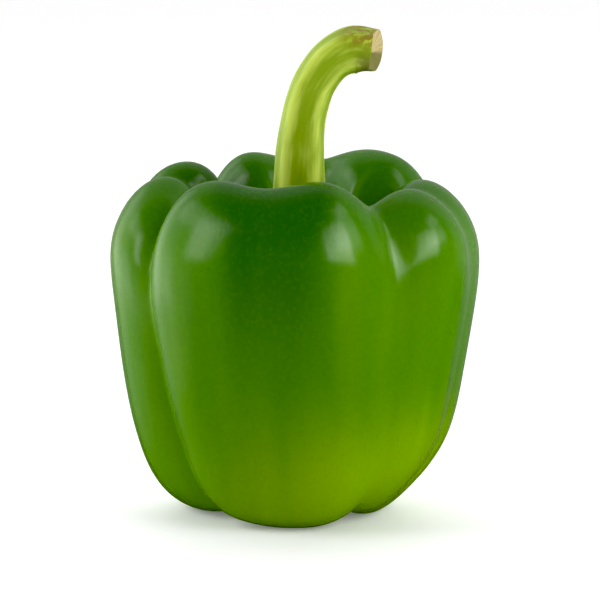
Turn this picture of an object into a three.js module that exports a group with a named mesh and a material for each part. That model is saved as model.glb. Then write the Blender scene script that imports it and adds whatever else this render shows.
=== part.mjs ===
// A green bell pepper as picked, standing on the feet of its four lobes: the fruit, the calyx in the
// hollow of its crown, and the curved stem with its cut end.
// Millimetres, +Z up, front towards -Y, origin on the ground under the middle of the fruit.
// Angles are in degrees round the fruit, 0 at the front (-Y) and growing towards +X.
import * as THREE from 'three';
import { mergeVertices } from 'three/addons/utils/BufferGeometryUtils.js';

// The fruit before it is lobed: half of a blocky oval turned about Z, tapering to the foot,
// with a hollow in the crown and a dimple at the blossom end.
const body = {
  radius: 48,
  waistZ: 65.2,
  topRise: 29.3,
  topBlock: 2.5,
  footBlock: 4,
  taper: 0.15,
  hollowDepth: 20,
  hollowRadius: 26,
  hollowEdge: 4,
  dimpleDepth: 9,
  dimpleRadius: 13,
  footDrop: 2.3,
};

// Furrows that part the lobes, then the shallow one down the middle of each lobe.
// path: the angle at four heights, foot to crest. reach: half width at the foot and at the crest.
// soft: how round the bottom of the crease is. depth: at ten stations along the skin, from the
// blossom end over foot, flank, shoulder and crest to the middle of the hollow.
const furrows = [
  { path: [-38, -56, -60, -65], reach: [22, 15], soft: 0.8, depth: [0, 3, 6, 6.5, 6.5, 6.5, 7.5, 9.5, 6, 0] },
  { path: [35, 34, 34, 35], reach: [18, 10], soft: 1.2, depth: [0, 2.5, 3.4, 0.9, 0.3, 0.9, 4, 5.5, 4, 0] },
  { path: [120, 120, 118, 115], reach: [22, 10], soft: 0.8, depth: [0, 3, 6, 6, 6, 6, 7, 7.5, 5, 0] },
  { path: [215, 215, 217, 220], reach: [22, 10], soft: 0.8, depth: [0, 3, 6, 6, 6, 6, 7, 7.5, 5, 0] },
  { path: [-8, -9, -11, -12], reach: [18, 14], soft: 3, depth: [0, 0, 0, 0.2, 0.4, 0.6, 0.7, 0.7, 1.5, 0] },
  { path: [72, 72, 73, 74], reach: [16, 12], soft: 2, depth: [0, 0, 1.5, 1.2, 0.8, 0.8, 1.5, 2.4, 2, 0] },
  { path: [168, 166, 162, 160], reach: [16, 14], soft: 2, depth: [0, 0, 0.5, 0.8, 0.8, 0.8, 0.3, 0, 4, 0] },
  { path: [256, 256, 255, 252], reach: [16, 10], soft: 1.5, depth: [0, 0, 1, 1, 1, 1, 2, 3, 2, 0] },
];

// Swells that fill the lobes out: centre angle, half width, and rise at the same ten stations.
const swells = [
  { angle: -36, half: 45, rise: [0, 0, 3.2, 0.5, 0.5, 0.5, 0.5, 4.4, 3, 0] },
  { angle: 16, half: 45, rise: [0, 0, 2.8, 0.5, 0.5, 0.5, 0.4, 5, 3, 0] },
  { angle: 3, half: 36, rise: [0, 0, 0, 0, 0.3, 0.8, 2.6, 0.4, 0, 0] },
  { angle: 54, half: 24, rise: [0, 0, 0, 0, 0, 0.5, 2.8, 0.3, 0, 0] },
  { angle: 80, half: 50, rise: [0, 1.1, -2.6, -1.2, -0.9, -0.1, 0.3, 1.9, 0, 0] },
  { angle: 142, half: 45, rise: [0, 1, 0, 0, 0.4, 1.2, 3.2, 6, 2, 0] },
  { angle: 200, half: 42, rise: [0, 0.8, 0, 0, 0.4, 1.2, 2.8, 5.4, 2, 0] },
  { angle: 236, half: 35, rise: [0, 0, 0, 0, 0, 0, 0, 4.2, 2, 0] },
  { angle: 276, half: 46, rise: [0, 0.5, 1.2, 0.3, 0.1, 0, 0.9, 1.9, -3, 0] },
];

// A furrow's path runs over this share of the skin's length. Its side walls follow a power of the
// distance from the crease, its width changes late towards the crest, and near the middle of the
// crown and of the blossom end all furrows and swells fade out.
const lobing = { pathFrom: 0.1, pathTo: 0.8, wallPower: 2.5, widthPower: 3, calmRadius: 14 };

// The calyx: a thin cap on the floor of the hollow, with a flat hub and pointed teeth.
const calyx = {
  teeth: 6,
  firstTooth: 20,
  notchReach: 12.5,
  toothReach: 4.5,
  toothPower: 2.5,
  rimThickness: 1.1,
  rimPower: 0.5,
  ribRise: 0.7,
  hubTopZ: 75,
  hubFrom: 9.5,
  hubTo: 13,
  gap: 0.5,
};

// The stem: a centre line from the hub up and over to the right, its radius at even steps along it,
// shallow ribs, and a cut end whose lower lip swells and then rounds off.
const stem = {
  line: [
    [1.2, 75.4], [1.15, 81.8], [1.15, 88.3], [1.3, 94.7], [1.95, 101.1],
    [3.2, 107.1], [5.4, 112.9], [9.5, 118.3], [14.8, 121.1], [19.9, 120.6],
  ],
  radius: [7.8, 7, 6.5, 6.2, 5.75, 5.6, 5.55, 5.8, 6.6, 5.9],
  ribs: 5,
  ribHeight: 0.05,
  ribTurn: 18,
  lip: 0.08,
  lipRound: 0.2,
  lipFrom: 0.8,
  lipTop: 0.92,
  cutRing: 0.93,
  cutInnerRing: 0.55,
  cutRound: 0.9,
  cutHollow: 0.5,
  cutSlope: 1.1,
};

// Rings and points a ring of each mesh, and the steps at which the fruit's outline is measured.
const grid = {
  outlineSteps: 4000,
  fruitAround: 88,
  fruitAlong: 43,
  calyxAround: 72,
  calyxAlong: 6,
  stemAround: 28,
  stemAlong: 26,
};

const skinMaterial = new THREE.MeshStandardMaterial({ color: '#3c7a14', roughness: 0.28, metalness: 0 });
const calyxMaterial = new THREE.MeshStandardMaterial({ color: '#7f9a2c', roughness: 0.55, metalness: 0 });
const stemMaterial = new THREE.MeshStandardMaterial({ color: '#b9d24a', roughness: 0.5, metalness: 0 });

const { abs, cos, sin, exp, hypot, PI } = Math;
const clamp = THREE.MathUtils.clamp;
const lerp = THREE.MathUtils.lerp;
const smoothstep = THREE.MathUtils.smoothstep;
const radians = THREE.MathUtils.degToRad;

// Value at t (0 to 1) of a Catmull-Rom curve through evenly spaced values.
function along(values, t) {
  const last = values.length - 1;
  const before = 2 * values[0] - values[1];
  const after = 2 * values[last] - values[last - 1];
  const all = [before, ...values, after];
  const i = clamp(Math.floor(t * last), 0, last - 1);
  const f = t * last - i;
  const [a, b, c, d] = all.slice(i, i + 4);
  return b + 0.5 * f * (c - a + f * (2 * a - 5 * b + 4 * c - d + f * (3 * (b - c) + d - a)));
}

// Radius and height of the unlobed body's outline at the turn tau, -90 degrees at the blossom end.
function outlinePoint(tau) {
  const side = Math.max(cos(tau), 0);
  const up = sin(tau);
  const power = 2 / (up > 0 ? body.topBlock : body.footBlock);
  const rise = abs(up) ** power;
  let rho = body.radius * side ** power;
  let z = up > 0 ? body.waistZ + body.topRise * rise : body.waistZ * (1 - rise);
  rho *= 1 - body.taper * Math.max(1 - z / body.waistZ, 0);
  if (up > 0) {
    z -= body.hollowDepth * exp(-((rho / body.hollowRadius) ** body.hollowEdge));
  } else {
    z += body.dimpleDepth * exp(-((rho / body.dimpleRadius) ** 2));
  }
  return new THREE.Vector2(rho, z - body.footDrop);
}

// The outline resampled to even steps along the skin, as a table that outlineAt reads.
function measureOutline(steps) {
  const points = Array.from({ length: steps + 1 }, (_, k) => outlinePoint(PI * (k / steps - 0.5)));
  const run = [0];
  for (let k = 1; k <= steps; k += 1) {
    run.push(run[k - 1] + points[k].distanceTo(points[k - 1]));
  }
  return { points, run, length: run[steps] };
}

const outline = measureOutline(grid.outlineSteps);

// Point and outward normal of the outline at the share t of its length.
function outlineAt(t) {
  const at = clamp(t, 0, 1) * outline.length;
  let low = 0;
  let high = outline.run.length - 1;
  while (high - low > 1) {
    const middle = (low + high) >> 1;
    if (outline.run[middle] > at) high = middle;
    else low = middle;
  }
  const f = (at - outline.run[low]) / (outline.run[high] - outline.run[low]);
  const a = outline.points[low];
  const b = outline.points[high];
  const step = hypot(b.x - a.x, b.y - a.y);
  return {
    rho: lerp(a.x, b.x, f),
    z: lerp(a.y, b.y, f),
    outRho: (b.y - a.y) / step,
    outZ: (a.x - b.x) / step,
  };
}

// How far the skin stands out of the unlobed body: pressed in by the furrows, pushed out by the swells.
function lobeMove(t, angle, rho) {
  const up = clamp((t - lobing.pathFrom) / (lobing.pathTo - lobing.pathFrom), 0, 1);
  let move = 0;
  for (const { path, reach, soft, depth } of furrows) {
    const turn = THREE.MathUtils.euclideanModulo(angle - along(path, up) + 180, 360) - 180;
    const aside = hypot(rho * radians(turn), soft) - soft;
    const width = lerp(reach[0], reach[1], up ** lobing.widthPower);
    move -= along(depth, t) * Math.max(1 - aside / width, 0) ** lobing.wallPower;
  }
  for (const { angle: centre, half, rise } of swells) {
    const turn = THREE.MathUtils.euclideanModulo(angle - centre + 180, 360) - 180;
    const share = clamp(abs(turn) / half, 0, 1);
    move += along(rise, t) * cos((share * PI) / 2) ** 2;
  }
  return move * smoothstep(rho, 0, lobing.calmRadius);
}

// Point of the skin at the share t along the outline and the angle round it, raised by lift.
function skinPoint(t, angle, lift) {
  const { rho, z, outRho, outZ } = outlineAt(t);
  const move = lobeMove(t, angle, rho) + lift;
  const out = rho + move * outRho;
  const a = radians(angle);
  return new THREE.Vector3(out * sin(a), -out * cos(a), z + move * outZ);
}

// Turned body of one ring of points for each row, its first and last row drawn to a point, with
// place(row, angle) giving each point. A lathe supplies the faces, and its points are then moved.
function ringBody(rows, around, place) {
  const profile = Array.from({ length: rows }, (_, k) => {
    const tau = PI * (k / (rows - 1) - 0.5);
    return new THREE.Vector2(k === 0 || k === rows - 1 ? 0 : cos(tau), sin(tau));
  });
  const geometry = new THREE.LatheGeometry(profile, around);
  const position = geometry.attributes.position;
  for (let k = 0; k < position.count; k += 1) {
    const row = k % rows;
    const step = Math.floor(k / rows) % around;
    const angle = row === 0 || row === rows - 1 ? 0 : (360 * step) / around;
    const p = place(row, angle);
    position.setXYZ(k, p.x, p.y, p.z);
  }
  return closed(geometry);
}

// Joins points that coincide and drops the faces that this leaves without area.
function closed(geometry) {
  geometry.deleteAttribute('normal');
  geometry.deleteAttribute('uv');
  const merged = mergeVertices(geometry, 1e-5);
  const index = merged.index.array;
  const kept = [];
  for (let k = 0; k < index.length; k += 3) {
    const [a, b, c] = index.slice(k, k + 3);
    if (a !== b && b !== c && c !== a) kept.push(a, b, c);
  }
  merged.setIndex(kept);
  merged.computeVertexNormals();
  return merged;
}

// The fruit: the lobed skin, with what would reach below the ground pressed flat into small feet.
function fruitMesh() {
  const last = grid.fruitAlong - 1;
  const geometry = ringBody(grid.fruitAlong, grid.fruitAround, (row, angle) => {
    const p = skinPoint(row / last, angle, 0);
    p.z = Math.max(p.z, 0);
    return p;
  });
  const mesh = new THREE.Mesh(geometry, skinMaterial);
  mesh.name = 'fruit';
  return mesh;
}

// The calyx: its underside keeps a gap to the hollow's floor, its rim runs out into teeth, and its
// upper side rises over a rib to each tooth and levels out into the hub under the stem.
function calyxMesh() {
  const half = grid.calyxAlong;
  const rows = 2 * half + 1;
  const geometry = ringBody(rows, grid.calyxAround, (row, angle) => {
    const tooth = abs(cos(radians((calyx.teeth / 2) * (angle - calyx.firstTooth)))) ** calyx.toothPower;
    const reach = calyx.notchReach + calyx.toothReach * tooth;
    const share = 1 - abs(row - half) / half;
    const t = 1 - (reach * sin((share * PI) / 2)) / outline.length;
    const under = skinPoint(t, angle, calyx.gap);
    if (row < half) return under;
    const thickness = calyx.rimThickness + calyx.ribRise * tooth * sin(share * PI);
    const top = skinPoint(t, angle, calyx.gap + thickness * cos((share * PI) / 2) ** calyx.rimPower);
    const spread = hypot(top.x, top.y);
    top.z = lerp(calyx.hubTopZ, top.z, smoothstep(spread, calyx.hubFrom, calyx.hubTo));
    return top;
  });
  const mesh = new THREE.Mesh(geometry, calyxMaterial);
  mesh.name = 'calyx';
  return mesh;
}

// The stem: rings square to its centre line, closed by a flat foot and a dished, slanting cut.
// Angle 0 of a ring is the inner side of the bend, which becomes the lip under the cut.
function stemMesh() {
  const curve = new THREE.CatmullRomCurve3(stem.line.map(([x, z]) => new THREE.Vector3(x, 0, z)));
  const side = new THREE.Vector3(0, 1, 0);
  const endRings = [stem.cutRing, stem.cutInnerRing, 0];
  const rows = 1 + grid.stemAlong + endRings.length;
  const geometry = ringBody(rows, grid.stemAround, (row, angle) => {
    const t = clamp((row - 1) / (grid.stemAlong - 1), 0, 1);
    const centre = curve.getPoint(t);
    const forward = row <= 1 ? new THREE.Vector3(0, 0, 1) : curve.getTangent(t);
    const inner = new THREE.Vector3().crossVectors(side, forward);
    const a = radians(angle);
    const rib = 1 + stem.ribHeight * cos(radians(stem.ribs * (angle - stem.ribTurn)));
    const swell = stem.lip * smoothstep(t, stem.lipFrom, stem.lipTop);
    const rounding = stem.lipRound * smoothstep(t, stem.lipTop, 1);
    const lip = 1 + Math.max(cos(a), 0) ** 2 * (swell - rounding);
    let share = row === 0 ? 0 : 1;
    let push = 0;
    if (row > grid.stemAlong) {
      const ring = row - grid.stemAlong - 1;
      share = endRings[ring];
      push = stem.cutRound - (ring > 0 ? stem.cutHollow : 0);
    }
    const slant = row >= grid.stemAlong ? stem.cutSlope * share * sin(a) : 0;
    const radius = along(stem.radius, t) * rib * lip * share;
    return centre
      .addScaledVector(inner, radius * cos(a))
      .addScaledVector(side, radius * sin(a))
      .addScaledVector(forward, push + slant);
  });
  const mesh = new THREE.Mesh(geometry, stemMaterial);
  mesh.name = 'stem';
  return mesh;
}

const pepper = new THREE.Group();
pepper.name = 'bell_pepper';
pepper.add(fruitMesh(), calyxMesh(), stemMesh());

export default pepper;
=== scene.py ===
# A green bell pepper on a pale floor: the skin of its four lobes, the calyx down in the crown and the
# curved stem with its cut end. Lengths are millimetres until they go into a mesh. Angles are degrees
# round the fruit, 0 at the front (-Y) and growing towards +X.
import math
import bpy
import numpy as np
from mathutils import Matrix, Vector


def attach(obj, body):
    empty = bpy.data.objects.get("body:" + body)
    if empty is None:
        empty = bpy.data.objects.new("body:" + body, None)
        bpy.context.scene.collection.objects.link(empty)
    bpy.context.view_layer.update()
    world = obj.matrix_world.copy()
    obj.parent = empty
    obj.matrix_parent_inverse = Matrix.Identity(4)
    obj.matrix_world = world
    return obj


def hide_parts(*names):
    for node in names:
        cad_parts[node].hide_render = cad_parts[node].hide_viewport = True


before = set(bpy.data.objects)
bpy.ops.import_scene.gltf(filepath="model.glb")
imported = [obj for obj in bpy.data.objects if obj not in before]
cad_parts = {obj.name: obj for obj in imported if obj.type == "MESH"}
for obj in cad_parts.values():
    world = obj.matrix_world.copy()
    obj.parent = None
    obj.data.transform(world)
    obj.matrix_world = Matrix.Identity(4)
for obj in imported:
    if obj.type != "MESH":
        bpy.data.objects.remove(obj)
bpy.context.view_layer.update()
mm = 0.001


def step(text):
    print("scene:", text)


class Wire:
    # wraps one socket, so that sums and products of values are written as Python expressions
    def __init__(self, finish, socket):
        self.finish = finish
        self.socket = socket

    def maths(self, operation, first, second=0.0):
        return self.finish.add("ShaderNodeMath", {"operation": operation}, {0: first, 1: second})

    def __add__(self, other):
        return self.maths("ADD", self, other)

    def __radd__(self, other):
        return self.maths("ADD", other, self)

    def __sub__(self, other):
        return self.maths("SUBTRACT", self, other)

    def __rsub__(self, other):
        return self.maths("SUBTRACT", other, self)

    def __mul__(self, other):
        return self.maths("MULTIPLY", self, other)

    def __rmul__(self, other):
        return self.maths("MULTIPLY", other, self)

    def __truediv__(self, other):
        return self.maths("DIVIDE", self, other)

    def most(self, other):
        return self.maths("MAXIMUM", self, other)

    def least(self, other):
        return self.maths("MINIMUM", self, other)

    def size(self):
        return self.maths("ABSOLUTE", self)

    # 0 below low, 1 above high and a smooth rise between them; high may be the smaller one
    def rise(self, low, high):
        return self.finish.add("ShaderNodeMapRange", {"interpolation_type": "SMOOTHSTEP"},
                               {0: self, 1: low, 2: high, 3: 0.0, 4: 1.0})


class Nodes:
    # one node tree, of a material or of the room
    def __init__(self, tree):
        self.tree = tree

    def add(self, kind, settings=None, sockets=None, out=0):
        made = self.tree.nodes.new(kind)
        for key, value in (settings or {}).items():
            setattr(made, key, value)
        for key, value in (sockets or {}).items():
            if isinstance(value, Wire):
                self.tree.links.new(value.socket, made.inputs[key])
            else:
                made.inputs[key].default_value = value
        return Wire(self, made.outputs[out])

    def mix(self, share, first, second):
        return self.add("ShaderNodeMix", {"data_type": "RGBA"}, {0: share, 6: first, 7: second}, out=2)

    def place(self):
        return self.add("ShaderNodeTexCoord", out=3)

    def value(self, name):
        return self.add("ShaderNodeAttribute", {"attribute_name": name}, out=2)

    def vector(self, name):
        return self.add("ShaderNodeAttribute", {"attribute_name": name}, out=1)

    def part(self, vector, axis):
        return self.add("ShaderNodeSeparateXYZ", sockets={0: vector}, out=axis)

    # noise whose pattern is drawn out along the vector's third part where drawn is under 1
    def noise(self, vector, drawn, scale, detail, roughness):
        sockets = {0: vector, 1: (1, 1, drawn)}
        vector = self.add("ShaderNodeVectorMath", {"operation": "MULTIPLY"}, sockets)
        sockets = {"Vector": vector, "Scale": scale, "Detail": detail, "Roughness": roughness}
        return self.add("ShaderNodeTexNoise", sockets=sockets)

    # bump of a height given in millimetres, over another one if there is one
    def bump(self, pattern, strength, height, under=None):
        sockets = {"Height": pattern, "Strength": strength, "Distance": height * mm}
        if under:
            sockets["Normal"] = under
        return self.add("ShaderNodeBump", sockets=sockets)

    # how far the vector points along a fixed one
    def toward(self, vector, other):
        sockets = {0: vector, 1: other}
        return self.add("ShaderNodeVectorMath", {"operation": "DOT_PRODUCT"}, sockets, out=1)


class Finish(Nodes):
    # one material: the surface's fixed values, and what feeds the shader
    def __init__(self, name, surface):
        self.material = bpy.data.materials.new(name)
        self.material.use_nodes = True
        super().__init__(self.material.node_tree)
        self.shader = self.tree.nodes["Principled BSDF"]
        for key, value in surface.items():
            self.shader.inputs[key].default_value = value

    def feed(self, name, wire):
        self.tree.links.new(wire.socket, self.shader.inputs[name])


# a colour as a picture shows it (0 to 255) made linear, as the shader wants it
def shown(r, g, b):
    share = np.array([r, g, b]) / 255
    linear = np.where(share <= 0.04045, share / 12.92, ((share + 0.055) / 1.055) ** 2.4)
    return (*[float(v) for v in linear], 1.0)


# value at t, 0 to 1, of the Catmull-Rom curve through evenly spaced values
def along(values, t):
    v = np.asarray(values, float)
    p = np.concatenate([[2 * v[0] - v[1]], v, [2 * v[-1] - v[-2]]])
    x = np.clip(t, 0, 1) * (len(v) - 1)
    i = np.clip(np.floor(x).astype(int), 0, len(v) - 2)
    f = x - i
    a, b, c, d = p[i], p[i + 1], p[i + 2], p[i + 3]
    return b + 0.5 * f * (c - a + f * (2 * a - 5 * b + 4 * c - d + f * (3 * (b - c) + d - a)))


# 0 below low, 1 above high, 3s^2 - 2s^3 between them
def smooth(value, low, high):
    s = np.clip((value - low) / (high - low), 0, 1)
    return s * s * (3 - 2 * s)


# the signed angle from centre to angle, within half a turn
def turnFrom(angle, centre):
    return (angle - centre + 180) % 360 - 180


# mesh of a grid of points whose columns close round it and whose first and last row are poles:
# quads between rows, a fan of triangles at each pole; rows run so that the faces point outwards
def ringMesh(name, points, marks, material):
    rows, around = points.shape[:2]
    ring = points[1:-1].reshape(-1, 3)
    corners = np.concatenate([ring, points[:1, 0], points[-1:, 0]]) * mm
    first, last = len(ring), len(ring) + 1
    i, j = np.meshgrid(np.arange(rows - 3), np.arange(around), indexing="ij")
    k = (j + 1) % around
    quads = np.stack([i * around + j, i * around + k, (i + 1) * around + k, (i + 1) * around + j], -1)
    j = np.arange(around)
    k = (j + 1) % around
    start = np.stack([k, j, np.full(around, first)], -1)
    end = (rows - 3) * around + np.stack([j, k, np.zeros(around, int)], -1)
    end[:, 2] = last
    mesh = bpy.data.meshes.new(name)
    mesh.from_pydata(corners.tolist(), [], quads.reshape(-1, 4).tolist() + start.tolist() + end.tolist())
    for key, value in marks.items():
        inner = value[1:-1].reshape(len(ring), -1)
        poles = np.stack([value[0].mean(0).reshape(-1), value[-1].mean(0).reshape(-1)])
        whole = np.concatenate([inner, poles])
        kind = "FLOAT" if whole.shape[1] == 1 else "FLOAT_VECTOR"
        field = mesh.attributes.new(key, kind, "POINT")
        field.data.foreach_set("value" if kind == "FLOAT" else "vector", whole.astype(np.float32).ravel())
    mesh.shade_smooth()
    mesh.materials.append(material)
    made = bpy.data.objects.new(name, mesh)
    bpy.context.scene.collection.objects.link(made)
    return made


fruit = {
    # the unlobed body: radius and height of the waist, rise of the shoulder, how square the outline is
    # above and below the waist, how much it narrows to the foot and how softly that starts
    "radius": 48.0, "waistZ": 65.2, "topRise": 29.3, "topBlock": 2.5, "footBlock": 4.0,
    "taper": 0.15, "waistSoft": 0.1,
    # hollow in the crown, dimple at the blossom end, and how far the feet would reach under the floor
    "hollowDepth": 20.0, "hollowRadius": 26.0, "hollowEdge": 4.0,
    "dimpleDepth": 9.0, "dimpleRadius": 13.0, "footDrop": 2.3,
    # part of the outline over which the creases wander, how steep their walls are and how late they
    # narrow, and the radius inside which creases and swells fade out
    "pathFrom": 0.1, "pathTo": 0.8, "wallPower": 2.5, "widthPower": 3, "calmRadius": 14.0,
    # points round the fruit and from pole to pole, steps of the outline, share of it for a slope
    "around": 400, "rows": 240, "outlineSteps": 4000, "slopeStep": 1e-4,
    # path: the crease's angle at four heights, foot to crest; reach: half width at foot and crest;
    # soft: how round the crease is; depth: at ten stations along the skin, from the blossom end over
    # foot, flank, shoulder and crest into the hollow
    "furrows": [
        {"path": [-38, -56, -60, -67], "reach": [22, 15], "soft": 0.8,
         "depth": [0, 3, 6, 6.5, 6.3, 5.3, 7.4, 9.1, 6, 0]},
        {"path": [35, 34, 34, 35], "reach": [18, 16], "soft": 3,
         "depth": [0, 2.5, 3.4, 1.3, 1.1, 1.8, 3.6, 5.2, 4, 0]},
        {"path": [120, 120, 118, 113], "reach": [22, 10], "soft": 0.8,
         "depth": [0, 3, 6, 6, 6, 6, 7, 7.5, 5, 0]},
        {"path": [215, 215, 217, 219], "reach": [22, 10], "soft": 0.8,
         "depth": [0, 3, 6, 6, 6, 6, 7, 7.5, 5, 0]},
        {"path": [-8, -9, -11, -12], "reach": [18, 14], "soft": 3,
         "depth": [0, 0, 0, 0.2, 0.4, 0.6, 0.7, 0.7, 1.5, 0]},
        {"path": [72, 72, 73, 71], "reach": [16, 12], "soft": 2,
         "depth": [0, 0, 1.5, 1.2, 0.8, 0.7, 1.4, 2.1, 2, 0]},
        {"path": [168, 166, 162, 160], "reach": [16, 14], "soft": 2,
         "depth": [0, 0, 0.5, 0.8, 0.8, 0.8, 0.3, 0, 4, 0]},
        {"path": [256, 256, 255, 256], "reach": [16, 10], "soft": 1.5,
         "depth": [0, 0, 1, 1, 1, 1, 1.6, 4, 2.1, 0]},
    ],
    # angle and half: middle and half width in degrees; rise: at the same ten stations
    "swells": [
        {"angle": -36, "half": 45, "rise": [0, 0, 3.2, 0.5, 0.5, 0.5, 0.5, 4.4, 3, 0]},
        {"angle": 16, "half": 45, "rise": [0, 0, 2.8, 0.5, 0.5, 0.5, 0.4, 5, 3, 0]},
        {"angle": 3, "half": 36, "rise": [0, 0, 0, 0, 0.3, 0.8, 2.6, 0.4, 0, 0]},
        {"angle": 54, "half": 24, "rise": [0, 0, 0, 0, 0, 0.5, 2.8, 0.5, 0, 0]},
        {"angle": 76, "half": 50, "rise": [0, 1.2, -1.9, -0.8, -0.8, 0, 1.1, 2, 0, 0]},
        {"angle": 143, "half": 45, "rise": [0, 1, 0, 0, 0.4, 1.1, 3.9, 6.6, 2, 0]},
        {"angle": 202, "half": 42, "rise": [0, 0.8, 0, 0, 0.4, 1.2, 2.8, 5.5, 2, 0]},
        {"angle": 247, "half": 35, "rise": [0, 0, 0, 0, 0, 0, 0.7, 4.5, 1.9, 0]},
        {"angle": 264, "half": 46, "rise": [0, 0.3, 1.5, 0.5, 0, 0, 1.1, 1.1, -3.3, 0]},
    ],
    "skin": {
        # colours as a picture shows them; deep green is the fruit's dark green and also the colour of the
        # painted shade
        "deep": (36, 88, 2), "plain": (64, 116, 2), "ripe": (112, 150, 2),
        "paleFleck": (104, 146, 8), "darkFleck": (30, 84, 4),
        # how far the green has ripened: everywhere, more near the foot and there still more towards the
        # right; it is taken darker towards the crest, and darker still high on the front lobe as painted
        # shade
        "ripeness": 0.58, "footMore": 0.1, "rightMore": 0.6, "crestDarker": 0.3, "paintedShade": 0.42,
        # where these come in, in millimetres upwards, to the right and to the front
        "footHeight": (2, 42), "sides": (-38, 34), "crestHeight": (72, 90),
        "shadeFrom": (-24, -12), "shadeTo": (2, 14), "shadeHeight": (30, 76), "shadeFront": (5, 25),
        # the ripeness at which deep green gives way to plain and plain to ripe
        "toPlain": (0.0, 0.6), "toRipe": (0.45, 1.1),
        # how much the noises change ripeness and colour
        "broadShare": 0.15, "bandShare": 0.28, "paleShare": 0.5, "darkShare": 0.6,
        # noises on the skin laid flat: how far they are drawn upwards, scale, detail and roughness
        "broad": (1, 0.035, 2.0, 0.5), "bands": (0.14, 0.12, 1.5, 0.5), "flecks": (1, 0.9, 3.0, 0.6),
        "streaks": (0.12, 1.6, 4.0, 0.65), "wrinkles": (0.35, 0.5, 3.0, 0.6),
        # roughness everywhere and what two noises add; strength and height in millimetres of the bumps
        "gloss": 0.13, "streakGloss": 0.08, "broadGloss": 0.02,
        "wrinkleBump": (0.06, 0.4), "streakBump": (0.045, 0.1), "specular": 0.42,
    },
}


# outline of the unlobed body: rho = R |cos|^(2/n), z = waist + rise |sin|^(2/n) above the waist and
# waist (1 - |sin|^(2/n)) below it, narrowed by a taper that grows from the waist to the foot along a
# hyperbola, less a bell-shaped hollow, plus a dimple; returned at shares t of its length with its
# outward normal and that length
def bodyOutline(t):
    f = fruit
    tau = np.linspace(-np.pi / 2, np.pi / 2, f["outlineSteps"] + 1)
    side, up = np.cos(tau).clip(0), np.sin(tau)
    power = 2 / np.where(up > 0, f["topBlock"], f["footBlock"])
    lift = np.abs(up) ** power
    rho = f["radius"] * side ** power
    z = np.where(up > 0, f["waistZ"] + f["topRise"] * lift, f["waistZ"] * (1 - lift))
    soft = f["waistSoft"]
    below = (1 - z / f["waistZ"]).clip(0)
    rho = rho * (1 - f["taper"] * (np.hypot(below, soft) - soft) / (math.hypot(1, soft) - soft))
    hollow = f["hollowDepth"] * np.exp(-(rho / f["hollowRadius"]) ** f["hollowEdge"])
    dimple = f["dimpleDepth"] * np.exp(-(rho / f["dimpleRadius"]) ** 2)
    z = z + np.where(up > 0, -hollow, dimple) - f["footDrop"]
    run = np.concatenate([[0], np.cumsum(np.hypot(np.diff(rho), np.diff(z)))])
    at = np.clip(t, 0, 1) * run[-1]
    beside = run[-1] * f["slopeStep"]
    ahead, behind = np.clip(at + beside, 0, run[-1]), np.clip(at - beside, 0, run[-1])
    slopeRho = np.interp(ahead, run, rho) - np.interp(behind, run, rho)
    slopeZ = np.interp(ahead, run, z) - np.interp(behind, run, z)
    size = np.hypot(slopeRho, slopeZ)
    return np.interp(at, run, rho), np.interp(at, run, z), slopeZ / size, -slopeRho / size, run[-1]


# a point of the skin: the body's outline turned to the angle, moved along its normal by
# - depth (1 - d / reach)^2.5 for each furrow, d the rounded distance from its crease,
# + rise cos^2 for each swell, all fading out near the two poles, and by lift
def skinPoint(t, angle, lift=0.0):
    f = fruit
    rho, z, outRho, outZ = bodyOutline(t)[:4]
    up = np.clip((t - f["pathFrom"]) / (f["pathTo"] - f["pathFrom"]), 0, 1)
    move = np.zeros_like(rho + angle)
    for furrow in f["furrows"]:
        turn = turnFrom(angle, along(furrow["path"], up))
        aside = np.hypot(rho * np.radians(turn), furrow["soft"]) - furrow["soft"]
        width = furrow["reach"][0] + (furrow["reach"][1] - furrow["reach"][0]) * up ** f["widthPower"]
        move = move - along(furrow["depth"], t) * (1 - aside / width).clip(0) ** f["wallPower"]
    for swell in f["swells"]:
        share = np.clip(np.abs(turnFrom(angle, swell["angle"])) / swell["half"], 0, 1)
        move = move + along(swell["rise"], t) * np.cos(share * np.pi / 2) ** 2
    move = move * smooth(rho, 0, f["calmRadius"]) + lift
    out = rho + move * outRho
    a = np.radians(angle)
    return np.stack([out * np.sin(a), -out * np.cos(a), z + move * outZ + 0 * a], -1)


def skinFinish():
    s = fruit["skin"]
    made = Finish("pepperSkin", {"Specular IOR Level": s["specular"]})
    place = made.place()
    flow = made.vector("flow")
    height = made.part(place, 2) / mm
    right = made.part(place, 0) / mm
    front = made.part(place, 1) / mm * -1
    broad, bands, flecks, streaks, wrinkles = (
        made.noise(flow, *s[name]) for name in ("broad", "bands", "flecks", "streaks", "wrinkles"))
    low = 1 - height.rise(*s["footHeight"])
    crest = height.rise(*s["crestHeight"])
    # painted shade: a band high on the front lobe where the colour is taken down towards deep green
    shade = right.rise(*s["shadeFrom"]) * (1 - right.rise(*s["shadeTo"]))
    shade = shade * height.rise(*s["shadeHeight"]) * front.rise(*s["shadeFront"])
    ripe = s["ripeness"] + low * (right.rise(*s["sides"]) * s["rightMore"] + s["footMore"])
    ripe = ripe - crest * s["crestDarker"] - shade * s["paintedShade"]
    ripe = ripe + (broad - 0.5) * s["broadShare"] + (bands - 0.5) * s["bandShare"]
    tone = made.mix(ripe.rise(*s["toPlain"]), shown(*s["deep"]), shown(*s["plain"]))
    tone = made.mix(ripe.rise(*s["toRipe"]), tone, shown(*s["ripe"]))
    tone = made.mix((flecks - 0.5).most(0.0) * s["paleShare"], tone, shown(*s["paleFleck"]))
    tone = made.mix((0.5 - flecks).most(0.0) * s["darkShare"], tone, shown(*s["darkFleck"]))
    made.feed("Base Color", tone)
    made.feed("Roughness", s["gloss"] + streaks * s["streakGloss"] + broad * s["broadGloss"])
    made.feed("Normal", made.bump(streaks, *s["streakBump"], made.bump(wrinkles, *s["wrinkleBump"])))
    return made.material


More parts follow.
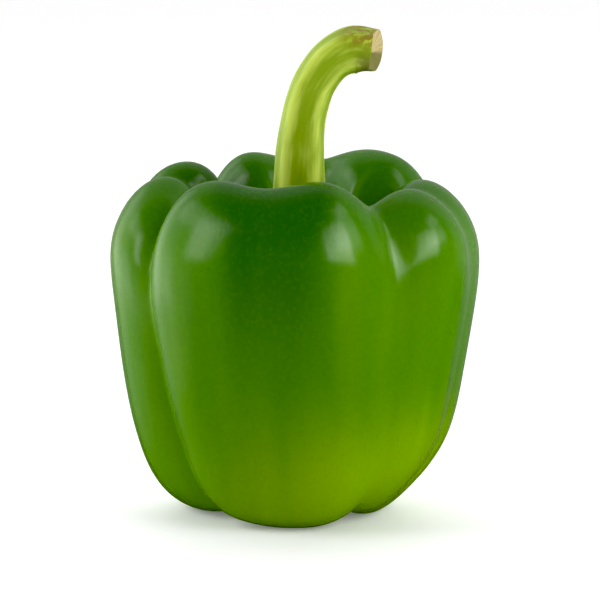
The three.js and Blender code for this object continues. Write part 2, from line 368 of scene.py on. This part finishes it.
# the fruit's skin, pressed flat where the lobes stand on the floor; flow is the skin laid flat: a
# circle of the body's radius, and the way along the outline
def makeFruit():
    t = np.linspace(0, 1, fruit["rows"])[:, None]
    angle = np.linspace(0, 360, fruit["around"], endpoint=False)[None, :]
    points = skinPoint(t, angle)
    points[..., 2] = np.maximum(points[..., 2], 0)
    a = np.radians(angle)
    length = bodyOutline(t)[4]
    flow = np.stack([fruit["radius"] * np.sin(a) + 0 * t, -fruit["radius"] * np.cos(a) + 0 * t,
                     length * t + 0 * a], -1)
    made = ringMesh("pepperFruit", points, {"flow": flow}, skinFinish())
    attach(made, "root")
    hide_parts("fruit")
    step("fruit with %d faces" % len(made.data.polygons))
    return made


calyx = {
    # how far the notches and the teeth reach, thickness at the rim, and where the hub is level
    "teeth": 6, "firstTooth": 20.0, "notchReach": 12.5, "toothReach": 4.5, "toothPower": 2.5,
    "rimThickness": 1.1, "rimPower": 0.5, "ribRise": 0.7, "hubTopZ": 75.0, "hubFrom": 9.5, "hubTo": 13.0,
    # gap to the skin; points round the calyx and from its middle to its rim
    "gap": 0.5, "around": 288, "half": 28,
    "leaf": {
        # colours as a picture shows them; the grain's noise, the range that it colours and its bump
        "dark": (96, 124, 24), "light": (132, 158, 48), "rib": (158, 184, 72), "ribShare": 0.5,
        "grain": (1, 900.0, 4.0, 0.6), "grainRange": (0.35, 0.65), "grainBump": (0.4, 0.2),
        "roughness": 0.5, "specular": 0.4,
    },
}


def calyxFinish():
    s = calyx["leaf"]
    leaf = Finish("calyxLeaf", {"Roughness": s["roughness"], "Specular IOR Level": s["specular"]})
    grain = leaf.noise(leaf.place(), *s["grain"])
    tone = leaf.mix(grain.rise(*s["grainRange"]), shown(*s["dark"]), shown(*s["light"]))
    tone = leaf.mix(leaf.value("tooth") * s["ribShare"], tone, shown(*s["rib"]))
    leaf.feed("Base Color", tone)
    leaf.feed("Normal", leaf.bump(grain, *s["grainBump"]))
    return leaf.material


# the calyx: rows run in under the rim from the middle, then back over it; its reach is
# notch + tooth |cos|^2.5 from the middle of the crown, its under side keeps a gap to the skin, and
# its upper side rises over a rib to each tooth and levels into the hub
def makeCalyx():
    c = calyx
    half = c["half"]
    row = np.arange(2 * half + 1)[:, None]
    angle = np.linspace(0, 360, c["around"], endpoint=False)[None, :]
    tooth = np.abs(np.cos(np.radians(c["teeth"] / 2 * (angle - c["firstTooth"])))) ** c["toothPower"]
    share = 1 - np.abs(row - half) / half
    length = bodyOutline(np.zeros(1))[4]
    t = 1 - (c["notchReach"] + c["toothReach"] * tooth) * np.sin(share * np.pi / 2) / length
    thickness = c["rimThickness"] + c["ribRise"] * tooth * np.sin(share * np.pi)
    rim = np.cos(share * np.pi / 2).clip(0) ** c["rimPower"]
    lift = c["gap"] + np.where(row < half, 0, thickness * rim)
    points = skinPoint(t, angle, lift)
    spread = np.hypot(points[..., 0], points[..., 1])
    level = smooth(spread, c["hubFrom"], c["hubTo"])
    topZ = c["hubTopZ"] + (points[..., 2] - c["hubTopZ"]) * level
    points[..., 2] = np.where(row < half, points[..., 2], topZ)
    made = ringMesh("pepperCalyx", points, {"tooth": tooth + 0 * t}, calyxFinish())
    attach(made, "root")
    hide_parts("calyx")
    step("calyx with %d faces" % len(made.data.polygons))
    return made


stem = {
    # centre line from the calyx to the cut, to the right and upwards, and the radius along it
    "line": [[1.2, 75.4], [1.15, 81.8], [1.15, 88.3], [1.3, 94.7], [1.95, 101.1],
             [3.2, 107.1], [5.4, 112.9], [9.5, 118.3], [14.8, 121.1], [19.9, 120.6]],
    "radius": [7.8, 7, 6.5, 6.2, 5.75, 5.6, 5.5, 5.6, 6, 5.9],
    # ribs, as a share of the radius; lip under the cut, as a share too, and where it swells
    "ribs": 5, "ribHeight": 0.05, "ribTurn": 18.0,
    "lip": 0.06, "lipRound": 0.2, "lipFrom": 0.8, "lipTop": 0.92,
    # cut: shares of the radius of its rings, how far its edge stands out, its dish and its slant
    "cutRings": [0.98, 0.93, 0.8, 0.55, 0.3, 0.0], "cutRound": 0.9, "cutHollow": 0.5, "cutSlope": 2.2,
    # points round and along the stem, step for a slope, size of the rind laid flat
    "around": 160, "rows": 240, "slopeStep": 1e-3, "flowRadius": 7.0, "flowLength": 60.0,
    "rind": {
        # colours as a picture shows them
        "green": (130, 158, 4), "pale": (188, 206, 80), "footDark": (92, 118, 10), "dried": (128, 102, 30),
        "lip": (92, 94, 24), "fibreDark": (142, 118, 74), "fibrePale": (206, 194, 132),
        # paleness of the rind: everywhere, on the ribs and from two noises, and the range it colours
        "paleness": 0.42, "ribShare": 0.25, "grainShare": 0.8, "wideShare": 1.1, "toPale": (0.1, 0.9),
        # the darkening at the foot, mostly between the ribs, the dried patch on top of the bend and the
        # dark lip under the cut: ranges along the stem (0 to 1), from its outer to its inner side and of
        # a noise, and shares
        "footDarkUp": (0.02, 0.3), "footDarkNoise": (0.3, 0.6), "footDarkShare": 0.9, "footDarkRib": 0.5,
        "driedUp": (0.82, 0.93), "driedSide": (-4, 1), "driedNoise": (0.38, 0.56), "driedShare": 0.85,
        "lipUp": (0.84, 0.98), "lipSide": (-2.5, 4), "lipNoise": (0.25, 0.55), "lipShare": 0.85,
        "cutSide": (-0.5, 1.5), "fibreRange": (0.3, 0.7),
        # noises on the rind laid flat: how far they are drawn along it, scale, detail and roughness
        "grain": (0.1, 1.1, 4.0, 0.65), "wide": (0.3, 0.28, 2.0, 0.5), "patch": (1, 0.45, 3.0, 0.6),
        "fibre": (0.2, 2.2, 4.0, 0.7), "grainBump": (0.5, 0.25), "roughness": 0.5, "specular": 0.4,
    },
}

def stemFinish():
    s = stem["rind"]
    rind = Finish("pepperStem", {"Roughness": s["roughness"], "Specular IOR Level": s["specular"]})
    flow = rind.vector("flow")
    up = rind.value("up")
    ridge = rind.value("ridge")
    inner = rind.part(flow, 0)
    grain, wide, patch, fibre = (
        rind.noise(flow, *s[name]) for name in ("grain", "wide", "patch", "fibre"))
    pale = ridge * s["ribShare"] + s["paleness"]
    pale = pale + (grain - 0.5) * s["grainShare"] + (wide - 0.5) * s["wideShare"]
    tone = rind.mix(pale.rise(*s["toPale"]), shown(*s["green"]), shown(*s["pale"]))
    # darker towards the foot of the stem, mostly between the ribs
    footDark = (1 - up.rise(*s["footDarkUp"])) * (s["footDarkShare"] - ridge * s["footDarkRib"])
    footDark = footDark * wide.rise(*s["footDarkNoise"])
    tone = rind.mix(footDark.least(s["footDarkShare"]), tone, shown(*s["footDark"]))
    dried = up.rise(*s["driedUp"]) * (1 - inner.rise(*s["driedSide"])) * patch.rise(*s["driedNoise"])
    tone = rind.mix(dried * s["driedShare"], tone, shown(*s["dried"]))
    lip = up.rise(*s["lipUp"]) * inner.rise(*s["lipSide"])
    lip = lip * (patch.rise(*s["lipNoise"]) * 0.5 + 0.5)
    tone = rind.mix(lip * s["lipShare"], tone, shown(*s["lip"]))
    face = rind.mix(fibre.rise(*s["fibreRange"]), shown(*s["fibreDark"]), shown(*s["fibrePale"]))
    face = rind.mix(inner.rise(*s["cutSide"]) * s["lipShare"], face, shown(*s["lip"]))
    tone = rind.mix(rind.value("cut"), tone, face)
    rind.feed("Base Color", tone)
    rind.feed("Normal", rind.bump(grain, *s["grainBump"]))
    return rind.material


# the stem: rings of radius (1 + rib cos) round a Catmull-Rom centre line, square to it; the ring's
# angle 0 is the inner side of the bend, which swells into a lip under the cut; a flat foot and a
# dished cut that slants to the side close it
def makeStem():
    s = stem
    rings = s["cutRings"]
    rows = 1 + s["rows"] + len(rings)
    row = np.arange(rows)
    t = np.clip((row - 1) / (s["rows"] - 1), 0, 1)
    line = np.array(s["line"], float)
    centre = np.stack([along(line[:, 0], t), 0 * t, along(line[:, 1], t)], -1)
    ahead = np.clip(t + s["slopeStep"], 0, 1)
    behind = np.clip(t - s["slopeStep"], 0, 1)
    run = np.stack([along(line[:, k], ahead) - along(line[:, k], behind) for k in (0, 1)], -1)
    run /= np.linalg.norm(run, axis=1)[:, None]
    forward = np.stack([run[:, 0], 0 * t, run[:, 1]], -1)
    forward[:2] = (0, 0, 1)
    side = np.array([0.0, 1.0, 0.0])
    inner = np.cross(side, forward)
    angle = np.linspace(0, 360, s["around"], endpoint=False)[None, :]
    a = np.radians(angle)
    ridge = np.cos(np.radians(s["ribs"] * (angle - s["ribTurn"])))
    swell = s["lip"] * smooth(t, s["lipFrom"], s["lipTop"]) - s["lipRound"] * smooth(t, s["lipTop"], 1)
    lip = 1 + np.cos(a).clip(0) ** 2 * swell[:, None]
    share = np.ones(rows)
    share[0] = 0
    share[-len(rings):] = rings
    push = np.zeros(rows)
    push[-len(rings):] = s["cutRound"] - s["cutHollow"] * smooth(1 - np.array(rings), 0, 0.5)
    slant = np.where(row >= s["rows"], s["cutSlope"], 0) * share
    push = push[:, None] + slant[:, None] * np.sin(a)
    radius = along(s["radius"], t)[:, None] * (1 + s["ribHeight"] * ridge) * lip * share[:, None]
    points = centre[:, None, :] + (radius * np.cos(a))[..., None] * inner[:, None, :]
    points = points + (radius * np.sin(a))[..., None] * side + push[..., None] * forward[:, None, :]
    cut = np.where(row > s["rows"] + 1, 1.0, 0.0)[:, None] + 0 * a
    wide, high = s["flowRadius"], s["flowLength"] * t[:, None]
    flow = np.stack([wide * np.cos(a) + 0 * high, wide * np.sin(a) + 0 * high, high + 0 * a], -1)
    marks = {"flow": flow, "up": t[:, None] + 0 * a, "ridge": ridge + 0 * t[:, None], "cut": cut}
    made = ringMesh("pepperStalk", points, marks, stemFinish())
    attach(made, "root")
    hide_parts("stem")
    step("stem with %d faces" % len(made.data.polygons))
    return made


studio = {
    # camera: distance in metres, elevation, aim and width of the picture there in millimetres
    "distance": 1.0, "elevation": 8.5, "aim": (1.3, 0.0, 55.2), "widthAtAim": 157.8, "sensor": 36.0,
    "clip": (0.05, 20.0), "backdrop": 1.0, "blackLevel": 0.012,
    # floor: half width in metres, paleness, how much it glows by itself, gloss
    "floorHalf": 4.0, "floorPaleness": 0.9, "floorGlow": 0.15,
    "floorRoughness": 0.5, "floorSpecular": 0.2,
    # the room's light in front of the pepper and behind it, and where one gives way to the other: the
    # part of a direction that points backwards
    "roomLight": (0.08, 3.0), "roomBehind": (0.05, 0.6),
    # the haze that the skin mirrors: strength, and the parts of a direction that point back and up
    "haze": 0.32, "hazeBehind": (0.0, 0.5), "hazeUp": (-0.35, -0.1),
    # height in metres that the lamps point at
    "lampAim": 0.055,
    # azimuth and elevation from the middle of the fruit, width, height and distance in metres,
    # brightness against the white floor
    "lamps": {
        "leftBox": (-84, 24, 0.60, 0.70, 0.95, 5.5),
        "rightBox": (62, 24, 0.80, 0.75, 0.95, 4.2),
    },
    # what the skin mirrors: azimuth, elevation, half width and half height, soft edge and turn of a
    # bright field, all in degrees, its brightness and the share of it that is left at its foot
    "mirrored": {
        "rightBox": [47, 29, 18, 18, 5, 4, 3.6, 0.3],
        "rightCore": [53, 35, 10, 14, 8, 0, 2.6, 0.4],
        "rightEdge": [74, 33, 14, 12, 14, 0, 1.8, 0.6],
        "rightTop": [82, 53, 12, 7, 10, 0, 1.8, 1.0],
        "rightFloor": [52, -12, 26, 9, 8, 0, 0.16, 1.0],
        "leftCore": [-69, 28, 6, 14, 6, 0, 3.2, 0.5],
        "leftBox": [-86, 40, 22, 10, 8, 0, 1.3, 0.8],
        "leftNear": [-84, -4, 18, 16, 20, 0, 0.6, 1.0],
        "leftHaze": [-116, 16, 30, 24, 24, 0, 0.8, 1.0],
        "leftWall": [-114, -7, 24, 10, 28, 0, 1.2, 1.0],
    },
    # share of a field's upper half at which it is brightest, and how squarely ahead it has to be
    "fullAt": 0.4, "fieldAhead": (0.05, 0.2),
}


def makeCamera():
    s = studio
    tilt = math.radians(s["elevation"])
    data = bpy.data.cameras.new("studioCamera")
    made = bpy.data.objects.new("studioCamera", data)
    bpy.context.scene.collection.objects.link(made)
    made.location = Vector(s["aim"]) * mm + Vector((0, -math.cos(tilt), math.sin(tilt))) * s["distance"]
    made.rotation_euler = (math.pi / 2 - tilt, 0, 0)
    data.sensor_width = s["sensor"]
    data.lens = s["sensor"] * s["distance"] / (s["widthAtAim"] * mm)
    data.clip_start, data.clip_end = s["clip"]
    bpy.context.scene.camera = made
    step("camera")


def makeFloor():
    s = studio
    half, pale = s["floorHalf"], s["floorPaleness"]
    ground = Finish("paleFloor", {
        "Base Color": (pale, pale, pale, 1), "Roughness": s["floorRoughness"],
        "Specular IOR Level": s["floorSpecular"], "Emission Color": (1, 1, 1, 1),
        "Emission Strength": s["floorGlow"]})
    corners = [(-half, -half, 0), (half, -half, 0), (half, half, 0), (-half, half, 0)]
    mesh = bpy.data.meshes.new("floor")
    mesh.from_pydata(corners, [], [(0, 1, 2, 3)])
    mesh.materials.append(ground.material)
    made = bpy.data.objects.new("floor", mesh)
    bpy.context.scene.collection.objects.link(made)
    made.visible_glossy = False


# unit vector at an azimuth and an elevation in degrees
def direction(azimuth, elevation):
    around, up = math.radians(azimuth), math.radians(elevation)
    return Vector((math.sin(around) * math.cos(up), -math.cos(around) * math.cos(up), math.sin(up)))


# a bright field as the skin mirrors it: 1 inside a rectangle on the plane square to its direction,
# falling smoothly to 0 over its soft edge, and fading towards its foot
def mirroredField(room, way, azimuth, elevation, width, height, edge, turn, brightness, footShare):
    middle = direction(azimuth, elevation)
    across = direction(azimuth + 90, 0)
    upward = -middle.cross(across)
    roll = math.radians(turn)
    right = across * math.cos(roll) + upward * math.sin(roll)
    up = upward * math.cos(roll) - across * math.sin(roll)
    halfWidth, halfHeight, soft = (math.tan(math.radians(v)) for v in (width, height, edge))
    ahead = room.toward(way, middle)
    depth = ahead.most(studio["fieldAhead"][0])
    x = room.toward(way, right) / depth
    y = room.toward(way, up) / depth
    inside = x.size().rise(halfWidth + soft / 2, halfWidth - soft / 2)
    inside = inside * y.size().rise(halfHeight + soft / 2, halfHeight - soft / 2)
    fade = y.rise(-halfHeight, halfHeight * studio["fullAt"]) * (1 - footShare) + footShare
    return inside * fade * ahead.rise(*studio["fieldAhead"]) * brightness


# the room: white to the camera; as light it is brighter behind the pepper than in front of it, and
# the skin mirrors the two soft boxes, the white wall on the left and a haze behind
def makeRoom():
    s = studio
    world = bpy.data.worlds.new("room")
    bpy.context.scene.world = world
    world.use_nodes = True
    room = Nodes(world.node_tree)
    way = room.add("ShaderNodeTexCoord")
    depth = room.part(way, 1)
    lightFront, lightBehind = s["roomLight"]
    light = depth.rise(*s["roomBehind"]) * (lightBehind - lightFront) + lightFront
    mirror = depth.rise(*s["hazeBehind"]) * room.part(way, 2).rise(*s["hazeUp"]) * s["haze"]
    for field in s["mirrored"].values():
        mirror = mirror + mirroredField(room, way, *field)
    glossy = room.add("ShaderNodeLightPath", out="Is Glossy Ray")
    camera = room.add("ShaderNodeLightPath", out="Is Camera Ray")
    strength = light + (mirror - light) * glossy
    strength = strength + (s["backdrop"] - strength) * camera
    sky = room.tree.nodes["Background"]
    room.tree.links.new(strength.socket, sky.inputs["Strength"])
    sky.inputs["Color"].default_value = (1, 1, 1, 1)
    view = bpy.context.scene.view_settings
    view.view_transform = "Standard"
    view.use_curve_mapping = True
    view.curve_mapping.black_level = [s["blackLevel"]] * 3
    view.curve_mapping.update()


def makeLamps():
    aim = Vector((0, 0, studio["lampAim"]))
    for name, (azimuth, elevation, width, height, distance, brightness) in studio["lamps"].items():
        data = bpy.data.lights.new(name, "AREA")
        data.shape = "RECTANGLE"
        data.size, data.size_y = width, height
        data.energy = brightness * math.pi * width * height
        made = bpy.data.objects.new(name, data)
        bpy.context.scene.collection.objects.link(made)
        made.visible_glossy = False
        outward = direction(azimuth, elevation)
        made.location = aim + outward * distance
        made.rotation_euler = outward.to_track_quat("Z", "Y").to_euler()
    step("studio")


makeCamera()
makeFruit()
makeCalyx()
makeStem()
makeFloor()
makeRoom()
makeLamps()
